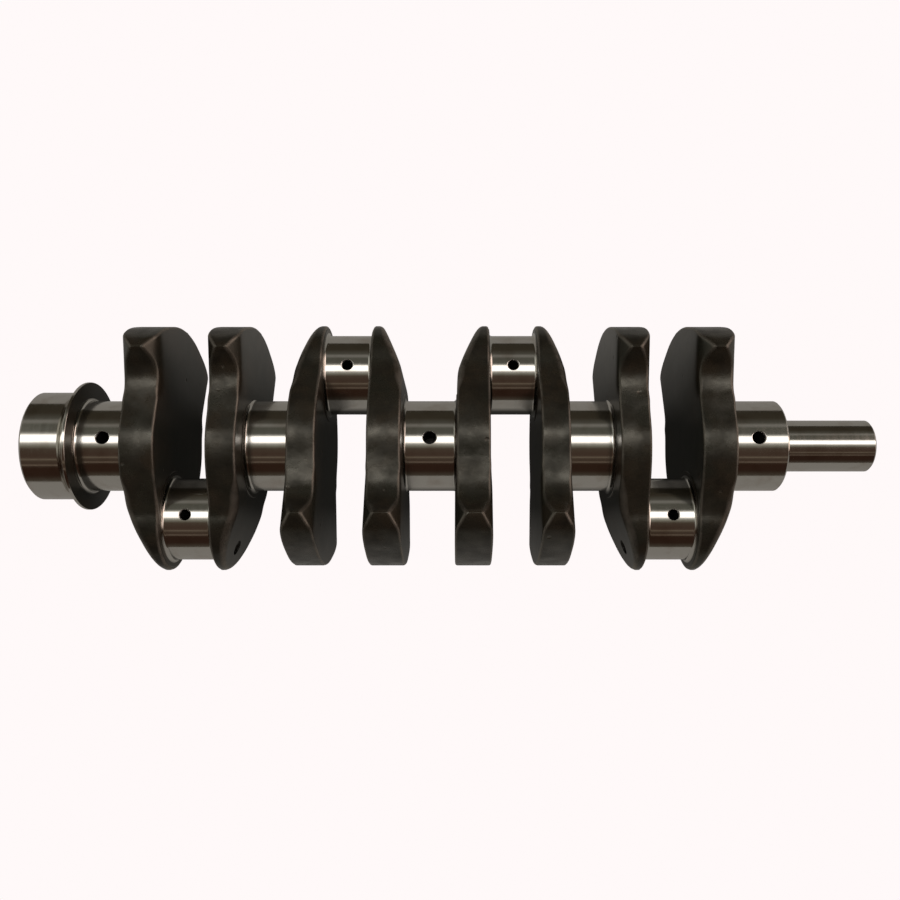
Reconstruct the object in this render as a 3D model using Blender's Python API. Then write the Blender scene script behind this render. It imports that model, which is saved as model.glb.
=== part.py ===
"""A forged four-cylinder crankshaft with the small parts that are fitted to it.

Frame: X runs along the main axis, from the flywheel flange (-X) to the nose (+X), and the origin is the
middle of the overall length. The crankpins lie in the XY plane: the two inner pins at +Y, the two outer pins
at -Y. Z is normal to that plane, and the crankshaft rests on the lower edges of its counterweights.
"""

import math

import bmesh
import bpy
from mathutils import Matrix, Vector

MM = 0.001

# Journals.
MAIN_RADIUS = 27.5 * MM
PIN_RADIUS = 24.4 * MM
THROW = 44.75 * MM
FILLET = 1.6 * MM
MAIN_BOSS_RADIUS = 31.5 * MM
PIN_BOSS_RADIUS = 28.6 * MM
BOSS_HEIGHT = 0.4 * MM

# Lengths along the axis, from the middle of the shaft outwards. Both halves of the shaft match.
CENTRE_MAIN_LENGTH = 31.6 * MM
CENTRE_WEB = 19.4 * MM
PIN_LENGTH = 28.6 * MM
INNER_WEB = 16.6 * MM
INNER_MAIN_LENGTH = 27.9 * MM
OUTER_WEB = 17.4 * MM
END_WEB = 20.0 * MM

# Nose end.
NOSE_MAIN_LENGTH = 35.7 * MM
NOSE_LENGTH = 56.4 * MM
NOSE_RADIUS = 15.65 * MM
NOSE_CHAMFER = 1.0 * MM
NOSE_BOLT_RADIUS = 6.0 * MM
NOSE_BOLT_DEPTH = 32.0 * MM

# Flywheel end.
FLANGE_MAIN_LENGTH = 33.1 * MM
COLLAR_LENGTH = 1.9 * MM
COLLAR_RADIUS = 39.0 * MM
GROOVE_LENGTH = 4.9 * MM
GROOVE_RADIUS = 30.0 * MM
FLANGE_LENGTH = 23.2 * MM
FLANGE_RADIUS = 32.7 * MM
FLANGE_CHAMFER = 1.5 * MM
BOLT_CIRCLE_RADIUS = 24.3 * MM
BOLT_COUNT = 6
BOLT_HOLE_RADIUS = 3.4 * MM
BOLT_HOLE_DEPTH = 17.0 * MM

# Web outline, as distances from the main axis: towards the counterweight, and to either side.
FAN_RADIUS = 72.5 * MM
FAN_HALF_ANGLE = math.radians(50)
PIN_END_RADIUS = 30.5 * MM
PIN_END_SWEEP = math.radians(88)
FLANK = [
    (38.5 * MM, 46.6 * MM),
    (29.0 * MM, 43.4 * MM),
    (15.0 * MM, 44.2 * MM),
    (0.0, 46.4 * MM),
    (-13.0 * MM, 44.8 * MM),
    (-25.0 * MM, 40.2 * MM),
    (-36.0 * MM, 34.2 * MM),
]

# The counterweight shoulders are bevelled from both faces, and the pin end slants away from the pin.
SHOULDER_BEVEL_START = 46.6 * MM
SHOULDER_HEIGHT = 55.5 * MM
SHOULDER_RIDGE = 5.0 * MM
SLANT_START = 41.0 * MM
SLANT_END = 75.25 * MM
SLANT_TIP = 5.0 * MM

# Oil ways.
OIL_RADIUS = 2.9 * MM
MAIN_OIL_MOUTH = 4.3 * MM
PIN_OIL_MOUTH = 3.7 * MM
OUTER_PIN_OIL_OFFSET = 1.0 * MM
GALLERY_AIM = 42.0 * MM
PLUG_SEAT_RADIUS = 3.5 * MM
PLUG_SEAT_DEPTH = 6.0 * MM
PLUG_LENGTH = 4.0 * MM

# Half-moon keys on the nose.
KEY_WIDTH = 5.0 * MM
KEY_DISC_RADIUS = 8.0 * MM
KEY_HEIGHT = 6.5 * MM
KEY_PROUD = 2.0 * MM
SPROCKET_KEY_FROM_SHOULDER = 13.0 * MM
PULLEY_KEY_FROM_SHOULDER = 39.0 * MM

# Flywheel dowel.
DOWEL_RADIUS = 3.0 * MM
DOWEL_LENGTH = 14.0 * MM
DOWEL_PROUD = 5.0 * MM

# Pilot ball bearing in the flange bore.
BEARING_RADIUS = 16.0 * MM
BEARING_BORE = 6.0 * MM
BEARING_WIDTH = 10.0 * MM
BEARING_INSET = 1.2 * MM
PITCH_RADIUS = 11.0 * MM
BALL_RADIUS = 2.975 * MM
BALL_COUNT = 7
BALL_PLAY = 0.13 * MM
INNER_RING_RADIUS = 9.1 * MM
OUTER_RING_BORE = 12.9 * MM
CAGE_INNER_RADIUS = 9.9 * MM
CAGE_OUTER_RADIUS = 12.1 * MM
CAGE_WIDTH = 7.2 * MM
CAGE_POCKET_PLAY = 0.15 * MM
SEAL_THICKNESS = 0.7 * MM
SEAL_INSET = 0.3 * MM
SEAL_LIP_RADIUS = 9.4 * MM
SEAL_SEAT = 0.7 * MM
RELIEF_RADIUS = 10.0 * MM
RELIEF_DEPTH = 12.0 * MM

# Gap between pieces that touch on the real object.
GAP = 0.2 * MM

# Number of flats on each kind of round surface.
JOURNAL_STEPS = 40
BORE_STEPS = 16
RING_STEPS = 32
FAN_STEPS = 10
PIN_END_STEPS = 12
FLANK_STEPS = 2
KEY_STEPS = 12
RACE_STEPS = 6
POCKET_STEPS = 20
CAGE_STEPS_PER_BALL = 5
BALL_SEGMENTS = 14
BALL_RINGS = 9

# Allowances for the modelling itself.
OVERLAP = 0.6 * MM
MERGE = 0.001 * MM
SMOOTH_ANGLE = math.radians(30)


# Stations along X, counted from the middle of the middle main journal and worked out from the lengths above.
CENTRE_MAIN_END = CENTRE_MAIN_LENGTH / 2
INNER_PIN_START = CENTRE_MAIN_END + CENTRE_WEB
INNER_PIN_END = INNER_PIN_START + PIN_LENGTH
INNER_MAIN_START = INNER_PIN_END + INNER_WEB
INNER_MAIN_END = INNER_MAIN_START + INNER_MAIN_LENGTH
OUTER_PIN_START = INNER_MAIN_END + OUTER_WEB
OUTER_PIN_END = OUTER_PIN_START + PIN_LENGTH
END_MAIN_START = OUTER_PIN_END + END_WEB
INNER_PIN_X = (INNER_PIN_START + INNER_PIN_END) / 2
OUTER_PIN_X = (OUTER_PIN_START + OUTER_PIN_END) / 2
NOSE_SHOULDER_X = END_MAIN_START + NOSE_MAIN_LENGTH
NOSE_END_X = NOSE_SHOULDER_X + NOSE_LENGTH
COLLAR_X = -(END_MAIN_START + FLANGE_MAIN_LENGTH)
GROOVE_X = COLLAR_X - COLLAR_LENGTH
FLANGE_X = GROOVE_X - GROOVE_LENGTH
FLANGE_FACE_X = FLANGE_X - FLANGE_LENGTH
NOSE_MAIN_X = END_MAIN_START + NOSE_MAIN_LENGTH / 2
FLANGE_MAIN_X = -(END_MAIN_START + FLANGE_MAIN_LENGTH / 2)
BEARING_X = FLANGE_FACE_X + BEARING_INSET + BEARING_WIDTH / 2
DOWEL_END_X = FLANGE_FACE_X - DOWEL_PROUD

# Where the middle main journal stands in the finished frame.
MIDDLE_MAIN_X = -(NOSE_END_X + DOWEL_END_X) / 2


def clear_scene():
    """Remove every object, so that the script starts from nothing."""
    for thing in list(bpy.data.objects):
        bpy.data.objects.remove(thing, do_unlink=True)


def material(name, colour, roughness, metallic=1.0):
    """Make a plain Principled material."""
    made = bpy.data.materials.new(name)
    made.use_nodes = True
    shader = made.node_tree.nodes["Principled BSDF"]
    shader.inputs["Base Color"].default_value = (*colour, 1.0)
    shader.inputs["Roughness"].default_value = roughness
    shader.inputs["Metallic"].default_value = metallic
    return made


def object_from(name, bm):
    """Turn a bmesh into an object with its faces pointing out."""
    bmesh.ops.recalc_face_normals(bm, faces=bm.faces)
    mesh = bpy.data.meshes.new(name)
    bm.to_mesh(mesh)
    bm.free()
    made = bpy.data.objects.new(name, mesh)
    bpy.context.scene.collection.objects.link(made)
    return made


def turned(name, profile, steps, closed=False):
    """Spin a profile of (x, radius) points around the X axis; a closed profile makes a ring."""
    bm = bmesh.new()
    points = [bm.verts.new((x, 0.0, radius)) for x, radius in profile]
    following = points[1:] + points[:1] if closed else points[1:]
    edges = [bm.edges.new(pair) for pair in zip(points, following)]
    bmesh.ops.spin(
        bm, geom=points + edges, axis=(1, 0, 0), cent=(0, 0, 0), angle=math.tau, steps=steps, use_merge=True
    )
    bmesh.ops.remove_doubles(bm, verts=bm.verts, dist=MERGE)
    return object_from(name, bm)


def prism(name, outline, push):
    """A solid between a flat outline of 3-D points and the same outline moved by a vector."""
    bm = bmesh.new()
    near = [bm.verts.new(point) for point in outline]
    far = [bm.verts.new(Vector(point) + Vector(push)) for point in outline]
    bm.faces.new(near)
    bm.faces.new(reversed(far))
    for index, corner in enumerate(near):
        bm.faces.new((corner, near[index - 1], far[index - 1], far[index]))
    return object_from(name, bm)


def drill(name, start, along, profile, steps=BORE_STEPS):
    """A stepped round bar along a direction, from a profile of (distance, radius) points."""
    ends = [(profile[0][0], 0.0), *profile, (profile[-1][0], 0.0)]
    made = turned(name, ends, steps)
    turn = Vector(along).to_track_quat("X", "Z").to_matrix().to_4x4()
    made.data.transform(Matrix.Translation(start) @ turn)
    return made


def combine(body, tool, operation):
    """Join the tool to the body, or cut it out of the body, and use the tool up."""
    modifier = body.modifiers.new(operation.title(), "BOOLEAN")
    modifier.operation = operation
    modifier.solver = "EXACT"
    modifier.object = tool
    bpy.context.view_layer.update()
    graph = bpy.context.evaluated_depsgraph_get()
    result = bpy.data.meshes.new_from_object(body.evaluated_get(graph))
    body.modifiers.clear()
    body.data = result
    bpy.data.objects.remove(tool, do_unlink=True)


def cut(body, tool):
    """Cut the tool out of the body."""
    combine(body, tool, "DIFFERENCE")


def fuse(body, tool):
    """Join the tool to the body as one solid."""
    combine(body, tool, "UNION")


def finish(piece, look, parent):
    """Give a piece its material, its shading and its parent."""
    piece.data.materials.clear()
    piece.data.materials.append(look)
    piece.data.shade_smooth()
    piece.data.set_sharp_from_angle(angle=SMOOTH_ANGLE)
    piece.parent = parent


def axis_empty(name, x):
    """An empty on the main axis, which carries the pieces that turn together."""
    made = bpy.data.objects.new(name, None)
    made.location = (x, 0.0, 0.0)
    bpy.context.scene.collection.objects.link(made)
    return made


def spline(points, steps):
    """A smooth curve through the inner points; the first and last points only give it its direction."""
    curve = []
    for before, start, end, after in zip(points, points[1:], points[2:], points[3:]):
        for step in range(steps):
            t = step / steps
            blend = (
                -t / 2 + t**2 - t**3 / 2,
                1 - 2.5 * t**2 + 1.5 * t**3,
                t / 2 + 2 * t**2 - 1.5 * t**3,
                -(t**2) / 2 + t**3 / 2,
            )
            curve.append(tuple(
                sum(share * value for share, value in zip(blend, values))
                for values in zip(before, start, end, after)
            ))
    curve.append(points[-2])
    return curve


def arc(centre, radius, start, end, steps):
    """Points on an arc in the outline's plane, with angles counted from the counterweight's direction."""
    angles = [start + (end - start) * step / steps for step in range(steps + 1)]
    return [(centre + radius * math.cos(angle), radius * math.sin(angle)) for angle in angles]


def web_outline():
    """Closed outline of a web: counterweight fan, waisted flank, round pin end, and the other flank."""
    fan = arc(0.0, FAN_RADIUS, -FAN_HALF_ANGLE, FAN_HALF_ANGLE, FAN_STEPS)
    pin_end = arc(-THROW, PIN_END_RADIUS, math.pi - PIN_END_SWEEP, math.pi + PIN_END_SWEEP, PIN_END_STEPS)
    flank = spline([fan[-2], fan[-1], *FLANK, pin_end[0], pin_end[1]], FLANK_STEPS)
    mirrored = [(along, -across) for along, across in reversed(flank)]
    return fan + flank[1:-1] + pin_end + mirrored[1:-1]


def shave(bm, point, normal):
    """Cut a solid with a plane, drop what lies beyond it, and close the cut."""
    geometry = bm.verts[:] + bm.edges[:] + bm.faces[:]
    result = bmesh.ops.bisect_plane(
        bm, geom=geometry, dist=MERGE, plane_co=point, plane_no=normal, clear_outer=True
    )
    rim = [item for item in result["geom_cut"] if isinstance(item, bmesh.types.BMEdge)]
    bmesh.ops.edgeloop_fill(bm, edges=rim)


def web(name, pin_face, outer_face, heavy_side):
    """One web between the face at its crankpin and its outer face, with its counterweight at +Y or -Y."""
    outline = [(pin_face, heavy_side * along, across) for along, across in web_outline()]
    made = prism(name, outline, (outer_face - pin_face, 0.0, 0.0))
    outward = math.copysign(1.0, outer_face - pin_face)
    thickness = abs(outer_face - pin_face)
    bm = bmesh.new()
    bm.from_mesh(made.data)
    rise = SHOULDER_HEIGHT - SHOULDER_BEVEL_START
    run = (thickness - SHOULDER_RIDGE) / 2
    for face, away in ((pin_face, -outward), (outer_face, outward)):
        for above in (1, -1):
            bevel = Vector((away * rise, 0.0, above * run)).normalized()
            shave(bm, (face, 0.0, above * SHOULDER_BEVEL_START), bevel)
    slope = (thickness - SLANT_TIP) / (SLANT_END - SLANT_START)
    slant = Vector((outward, -heavy_side * slope, 0.0)).normalized()
    shave(bm, (outer_face, -heavy_side * SLANT_START, 0.0), slant)
    bmesh.ops.recalc_face_normals(bm, faces=bm.faces)
    bm.to_mesh(made.data)
    bm.free()
    return made


def spool(name, start, end, radius, boss_radius, y=0.0):
    """A journal with a thrust boss and a fillet at each end, reaching slightly into both webs."""
    profile = [
        (start - OVERLAP, 0.0),
        (start - OVERLAP, boss_radius),
        (start + BOSS_HEIGHT, boss_radius),
        (start + BOSS_HEIGHT, radius + FILLET),
        (start + BOSS_HEIGHT + FILLET, radius),
        (end - BOSS_HEIGHT - FILLET, radius),
        (end - BOSS_HEIGHT, radius + FILLET),
        (end - BOSS_HEIGHT, boss_radius),
        (end + OVERLAP, boss_radius),
        (end + OVERLAP, 0.0),
    ]
    made = turned(name, profile, JOURNAL_STEPS)
    made.data.transform(Matrix.Translation((0.0, y, 0.0)))
    return made


def flywheel_end():
    """The last main journal, the oil collar, the groove and the flange, turned as one."""
    start = -END_MAIN_START
    profile = [
        (start + OVERLAP, 0.0),
        (start + OVERLAP, MAIN_BOSS_RADIUS),
        (start - BOSS_HEIGHT, MAIN_BOSS_RADIUS),
        (start - BOSS_HEIGHT, MAIN_RADIUS + FILLET),
        (start - BOSS_HEIGHT - FILLET, MAIN_RADIUS),
        (COLLAR_X + FILLET, MAIN_RADIUS),
        (COLLAR_X, MAIN_RADIUS + FILLET),
        (COLLAR_X, COLLAR_RADIUS),
        (GROOVE_X, COLLAR_RADIUS),
        (GROOVE_X, GROOVE_RADIUS),
        (FLANGE_X, GROOVE_RADIUS),
        (FLANGE_X, FLANGE_RADIUS - FLANGE_CHAMFER / 2),
        (FLANGE_X - FLANGE_CHAMFER / 2, FLANGE_RADIUS),
        (FLANGE_FACE_X + FLANGE_CHAMFER, FLANGE_RADIUS),
        (FLANGE_FACE_X, FLANGE_RADIUS - FLANGE_CHAMFER),
        (FLANGE_FACE_X, 0.0),
    ]
    return turned("flywheel_end", profile, JOURNAL_STEPS)


def nose_end():
    """The first main journal and the nose shaft, turned as one."""
    profile = [
        (END_MAIN_START - OVERLAP, 0.0),
        (END_MAIN_START - OVERLAP, MAIN_BOSS_RADIUS),
        (END_MAIN_START + BOSS_HEIGHT, MAIN_BOSS_RADIUS),
        (END_MAIN_START + BOSS_HEIGHT, MAIN_RADIUS + FILLET),
        (END_MAIN_START + BOSS_HEIGHT + FILLET, MAIN_RADIUS),
        (NOSE_SHOULDER_X - NOSE_CHAMFER, MAIN_RADIUS),
        (NOSE_SHOULDER_X, MAIN_RADIUS - NOSE_CHAMFER),
        (NOSE_SHOULDER_X, NOSE_RADIUS),
        (NOSE_END_X - NOSE_CHAMFER, NOSE_RADIUS),
        (NOSE_END_X, NOSE_RADIUS - NOSE_CHAMFER),
        (NOSE_END_X, 0.0),
    ]
    return turned("nose_end", profile, JOURNAL_STEPS)


def add_journals_and_webs(forging):
    """Fuse the middle of the shaft: five mains, four pins and eight webs."""
    fuse(forging, nose_end())
    for half in (1, -1):
        low, high = sorted((half * INNER_MAIN_START, half * INNER_MAIN_END))
        fuse(forging, spool("inner_main", low, high, MAIN_RADIUS, MAIN_BOSS_RADIUS))
        low, high = sorted((half * INNER_PIN_START, half * INNER_PIN_END))
        fuse(forging, spool("inner_pin", low, high, PIN_RADIUS, PIN_BOSS_RADIUS, THROW))
        low, high = sorted((half * OUTER_PIN_START, half * OUTER_PIN_END))
        fuse(forging, spool("outer_pin", low, high, PIN_RADIUS, PIN_BOSS_RADIUS, -THROW))
        fuse(forging, web("centre_web", half * INNER_PIN_START, half * CENTRE_MAIN_END, -1))
        fuse(forging, web("inner_web", half * INNER_PIN_END, half * INNER_MAIN_START, -1))
        fuse(forging, web("outer_web", half * OUTER_PIN_START, half * INNER_MAIN_END, 1))
        fuse(forging, web("end_web", half * OUTER_PIN_END, half * END_MAIN_START, 1))
    fuse(forging, spool("centre_main", -CENTRE_MAIN_END, CENTRE_MAIN_END, MAIN_RADIUS, MAIN_BOSS_RADIUS))


def oil_hole(forging, x, y, surface, mouth):
    """A drilling from a journal's axis out through its top, widened at its mouth."""
    flare = mouth - OIL_RADIUS
    profile = [
        (-OIL_RADIUS / 2, OIL_RADIUS),
        (surface - flare, OIL_RADIUS),
        (surface, mouth),
        (surface + OVERLAP, mouth + OVERLAP),
    ]
    cut(forging, drill("oil_hole", (x, y, 0.0), (0.0, 0.0, 1.0), profile))


class Gallery:
    """A diagonal oil way: from a main journal's axis, through a crankpin, out of the web beyond it."""

    def __init__(self, main_x, pin_x, pin_y, pin_face, outer_face):
        self.start = Vector((main_x, 0.0, 0.0))
        aim = Vector((pin_x, math.copysign(GALLERY_AIM, pin_y), 0.0))
        self.along = (aim - self.start).normalized()
        thickness = abs(outer_face - pin_face)
        slope = (thickness - SLANT_TIP) / (SLANT_END - SLANT_START)
        inward = math.copysign(slope, pin_face - outer_face) * math.copysign(1.0, pin_y)
        # The slanted facet is the line x = outer_face + inward * (y - start of the slant).
        slant_y = math.copysign(SLANT_START, pin_y)
        reach = (outer_face - inward * slant_y - main_x) / (self.along.x - inward * self.along.y)
        self.mouth = self.start + self.along * reach


def galleries():
    """The four oil ways, from the flywheel end to the nose."""
    made = []
    for half, end_main in ((-1, FLANGE_MAIN_X), (1, NOSE_MAIN_X)):
        outer = Gallery(end_main, half * OUTER_PIN_X, -THROW, half * OUTER_PIN_START, half * INNER_MAIN_END)
        inner = Gallery(0.0, half * INNER_PIN_X, THROW, half * INNER_PIN_END, half * INNER_MAIN_START)
        made.extend((outer, inner) if half < 0 else (inner, outer))
    return made


def drill_oil_ways(forging):
    """Drill the galleries and the holes that open on the journals."""
    for gallery in galleries():
        length = (gallery.mouth - gallery.start).length
        profile = [
            (-OIL_RADIUS, OIL_RADIUS),
            (length - PLUG_SEAT_DEPTH, OIL_RADIUS),
            (length - PLUG_SEAT_DEPTH, PLUG_SEAT_RADIUS),
            (length + PLUG_SEAT_DEPTH, PLUG_SEAT_RADIUS),
        ]
        cut(forging, drill("gallery", gallery.start, gallery.along, profile))
    for x in (FLANGE_MAIN_X, 0.0, NOSE_MAIN_X):
        oil_hole(forging, x, 0.0, MAIN_RADIUS, MAIN_OIL_MOUTH)
    for half in (1, -1):
        oil_hole(forging, half * INNER_PIN_X, THROW, PIN_RADIUS, PIN_OIL_MOUTH)
        oil_hole(forging, half * (OUTER_PIN_X + OUTER_PIN_OIL_OFFSET), -THROW, PIN_RADIUS, PIN_OIL_MOUTH)


def bolt_place(index, x):
    """A point on the flange's bolt circle; the dowel takes the lowest place, between two bolts."""
    angle = math.tau * index / BOLT_COUNT
    return Vector((x, BOLT_CIRCLE_RADIUS * math.cos(angle), BOLT_CIRCLE_RADIUS * math.sin(angle)))


def machine_flange(forging):
    """Bore the flange for the pilot bearing, and drill its bolt holes and its dowel hole."""
    inward = (1.0, 0.0, 0.0)
    seat_depth = BEARING_INSET + BEARING_WIDTH + GAP
    profile = [
        (-OVERLAP, BEARING_RADIUS + GAP),
        (seat_depth, BEARING_RADIUS + GAP),
        (seat_depth, RELIEF_RADIUS),
        (seat_depth + RELIEF_DEPTH, RELIEF_RADIUS),
    ]
    cut(forging, drill("bearing_seat", (FLANGE_FACE_X, 0.0, 0.0), inward, profile, JOURNAL_STEPS))
    bolt_hole = [(-OVERLAP, BOLT_HOLE_RADIUS), (BOLT_HOLE_DEPTH, BOLT_HOLE_RADIUS)]
    for index in range(BOLT_COUNT):
        cut(forging, drill("bolt_hole", bolt_place(index, FLANGE_FACE_X), inward, bolt_hole))
    dowel_hole = [(-OVERLAP, DOWEL_RADIUS + GAP), (DOWEL_LENGTH - DOWEL_PROUD + GAP, DOWEL_RADIUS + GAP)]
    cut(forging, drill("dowel_hole", (FLANGE_FACE_X, 0.0, -BOLT_CIRCLE_RADIUS), inward, dowel_hole))


def half_moon(name, x, growth, top):
    """A half-moon key, or its seat when it is grown; it stands in the nose's lower side."""
    disc_centre = NOSE_RADIUS + KEY_PROUD - KEY_HEIGHT + KEY_DISC_RADIUS
    radius = KEY_DISC_RADIUS + growth
    half_angle = math.acos((disc_centre - top) / radius)
    side = -KEY_WIDTH / 2 - growth
    outline = []
    for step in range(KEY_STEPS + 1):
        angle = -half_angle + 2 * half_angle * step / KEY_STEPS
        outline.append((x + radius * math.sin(angle), side, radius * math.cos(angle) - disc_centre))
    return prism(name, outline, (0.0, -2 * side, 0.0))


def machine_nose(forging):
    """Drill the nose for its bolt and mill the seats for its two keys."""
    profile = [
        (-OVERLAP, NOSE_BOLT_RADIUS + NOSE_CHAMFER + OVERLAP),
        (NOSE_CHAMFER, NOSE_BOLT_RADIUS),
        (NOSE_BOLT_DEPTH, NOSE_BOLT_RADIUS),
    ]
    cut(forging, drill("nose_bolt_hole", (NOSE_END_X, 0.0, 0.0), (-1.0, 0.0, 0.0), profile, RING_STEPS))
    for offset in (SPROCKET_KEY_FROM_SHOULDER, PULLEY_KEY_FROM_SHOULDER):
        cut(forging, half_moon("key_seat", NOSE_SHOULDER_X + offset, GAP, NOSE_RADIUS + KEY_PROUD))


def make_forging(look, parent):
    """The whole forging, fused and then machined."""
    forging = flywheel_end()
    forging.name = "crankshaft_forging"
    add_journals_and_webs(forging)
    drill_oil_ways(forging)
    machine_flange(forging)
    machine_nose(forging)
    finish(forging, look, parent)


def make_plugs(look, parent):
    """One plug just below the mouth of each gallery."""
    radius = PLUG_SEAT_RADIUS - GAP
    edge = radius / 6
    profile = [(0.0, radius), (PLUG_LENGTH - edge, radius), (PLUG_LENGTH, radius - edge)]
    for number, gallery in enumerate(galleries(), start=1):
        foot = gallery.mouth - gallery.along * (PLUG_SEAT_DEPTH - GAP)
        finish(drill(f"gallery_plug_{number}", foot, gallery.along, profile), look, parent)


def make_keys(look, parent):
    """The sprocket's key and the pulley's key."""
    top = NOSE_RADIUS + KEY_PROUD
    offsets = {"sprocket_key": SPROCKET_KEY_FROM_SHOULDER, "pulley_key": PULLEY_KEY_FROM_SHOULDER}
    for name, offset in offsets.items():
        finish(half_moon(name, NOSE_SHOULDER_X + offset, 0.0, top), look, parent)


def make_dowel(look, parent):
    """The dowel that locates the flywheel, with a small lead at its outer end."""
    inner = FLANGE_FACE_X + DOWEL_LENGTH - DOWEL_PROUD
    lead = DOWEL_RADIUS / 4
    profile = [
        (inner, 0.0),
        (inner, DOWEL_RADIUS),
        (DOWEL_END_X + lead, DOWEL_RADIUS),
        (DOWEL_END_X, DOWEL_RADIUS - lead),
        (DOWEL_END_X, 0.0),
    ]
    dowel = turned("flywheel_dowel", profile, BORE_STEPS)
    dowel.data.transform(Matrix.Translation((0.0, 0.0, -BOLT_CIRCLE_RADIUS)))
    finish(dowel, look, parent)


def race(shoulder, outward):
    """The groove that the balls run in, as (x, radius) points about the bearing's centre."""
    radius = BALL_RADIUS + BALL_PLAY
    reach = math.acos(abs(shoulder - PITCH_RADIUS) / radius)
    angles = [-reach + 2 * reach * step / RACE_STEPS for step in range(RACE_STEPS + 1)]
    return [(radius * math.sin(angle), PITCH_RADIUS + outward * radius * math.cos(angle)) for angle in angles]


def make_rings(look, inner_parent, outer_parent):
    """The pilot bearing's two rings. The outer ring is stepped at each end to hold a seal."""
    half = BEARING_WIDTH / 2
    seat = half - SEAL_INSET - SEAL_THICKNESS - GAP
    outer = [
        (-half, BEARING_RADIUS),
        (-half, OUTER_RING_BORE + SEAL_SEAT),
        (-seat, OUTER_RING_BORE + SEAL_SEAT),
        (-seat, OUTER_RING_BORE),
        *race(OUTER_RING_BORE, 1),
        (seat, OUTER_RING_BORE),
        (seat, OUTER_RING_BORE + SEAL_SEAT),
        (half, OUTER_RING_BORE + SEAL_SEAT),
        (half, BEARING_RADIUS),
    ]
    inner = [
        (-half, BEARING_BORE),
        (-half, INNER_RING_RADIUS),
        *race(INNER_RING_RADIUS, -1),
        (half, INNER_RING_RADIUS),
        (half, BEARING_BORE),
    ]
    finish(turned("pilot_outer_ring", outer, RING_STEPS, closed=True), look, outer_parent)
    finish(turned("pilot_inner_ring", inner, RING_STEPS, closed=True), look, inner_parent)


def make_seals(look, parent):
    """A flat seal at each side of the pilot bearing, held by the outer ring."""
    outer_edge = OUTER_RING_BORE + SEAL_SEAT - GAP
    outside = BEARING_WIDTH / 2 - SEAL_INSET
    inside = outside - SEAL_THICKNESS
    for name, side in (("pilot_seal_outboard", -1), ("pilot_seal_inboard", 1)):
        profile = [
            (side * inside, SEAL_LIP_RADIUS),
            (side * outside, SEAL_LIP_RADIUS),
            (side * outside, outer_edge),
            (side * inside, outer_edge),
        ]
        finish(turned(name, profile, RING_STEPS, closed=True), look, parent)


def ball_place(index):
    """Where a ball sits on the pitch circle, about the bearing's centre."""
    angle = math.tau * index / BALL_COUNT
    return Vector((0.0, PITCH_RADIUS * math.cos(angle), PITCH_RADIUS * math.sin(angle)))


def make_balls(look, parent):
    """The balls share one mesh."""
    bm = bmesh.new()
    bmesh.ops.create_uvsphere(bm, u_segments=BALL_SEGMENTS, v_segments=BALL_RINGS, radius=BALL_RADIUS)
    first = object_from("pilot_ball_1", bm)
    finish(first, look, parent)
    for index in range(1, BALL_COUNT):
        ball = bpy.data.objects.new(f"pilot_ball_{index + 1}", first.data)
        bpy.context.scene.collection.objects.link(ball)
        ball.parent = parent
        ball.location = ball_place(index)
    first.location = ball_place(0)


def make_cage(look, parent):
    """The cage: a band with a round pocket for each ball."""
    half = CAGE_WIDTH / 2
    band = [
        (-half, CAGE_INNER_RADIUS),
        (half, CAGE_INNER_RADIUS),
        (half, CAGE_OUTER_RADIUS),
        (-half, CAGE_OUTER_RADIUS),
    ]
    cage = turned("pilot_ball_cage", band, BALL_COUNT * CAGE_STEPS_PER_BALL, closed=True)
    pocket = BALL_RADIUS + CAGE_POCKET_PLAY
    profile = [(CAGE_INNER_RADIUS - OVERLAP, pocket), (CAGE_OUTER_RADIUS + OVERLAP, pocket)]
    for index in range(BALL_COUNT):
        cut(cage, drill("pocket", (0.0, 0.0, 0.0), ball_place(index), profile, POCKET_STEPS))
    finish(cage, look, parent)


def build():
    """Model every piece about the middle main journal or the bearing, and stand each on its own axis."""
    clear_scene()
    steel = material("forged_steel", (0.16, 0.155, 0.14), 0.42)
    plug_steel = material("plug_steel", (0.32, 0.31, 0.29), 0.45)
    key_steel = material("key_steel", (0.45, 0.44, 0.42), 0.35)
    dowel_steel = material("dowel_steel", (0.55, 0.54, 0.52), 0.28)
    bearing_steel = material("bearing_steel", (0.62, 0.62, 0.62), 0.22)
    ball_steel = material("ball_steel", (0.72, 0.72, 0.72), 0.12)
    cage_brass = material("cage_brass", (0.62, 0.47, 0.22), 0.35)
    seal_rubber = material("seal_rubber", (0.03, 0.03, 0.03), 0.7, 0.0)

    crank_axis = axis_empty("crank_axis", MIDDLE_MAIN_X)
    still_ring = axis_empty("still_ring_axis", MIDDLE_MAIN_X + BEARING_X)
    turning_ring = axis_empty("turning_ring_axis", MIDDLE_MAIN_X + BEARING_X)
    ball_axis = axis_empty("ball_axis", MIDDLE_MAIN_X + BEARING_X)

    make_forging(steel, crank_axis)
    make_plugs(plug_steel, crank_axis)
    make_keys(key_steel, crank_axis)
    make_dowel(dowel_steel, crank_axis)
    make_rings(bearing_steel, still_ring, turning_ring)
    make_seals(seal_rubber, turning_ring)
    make_balls(ball_steel, ball_axis)
    make_cage(cage_brass, ball_axis)


build()
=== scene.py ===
"""The looks of the crankshaft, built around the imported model.

The forging is rebuilt in detail as webs, journals, a flywheel end and a nose end, which all ride on the body
"crankshaft". The plugs, the keys, the dowel and the pilot bearing stay as packed and get finer materials.
"""

import math

import bpy
import numpy as np
from mathutils import Matrix, Vector


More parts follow.
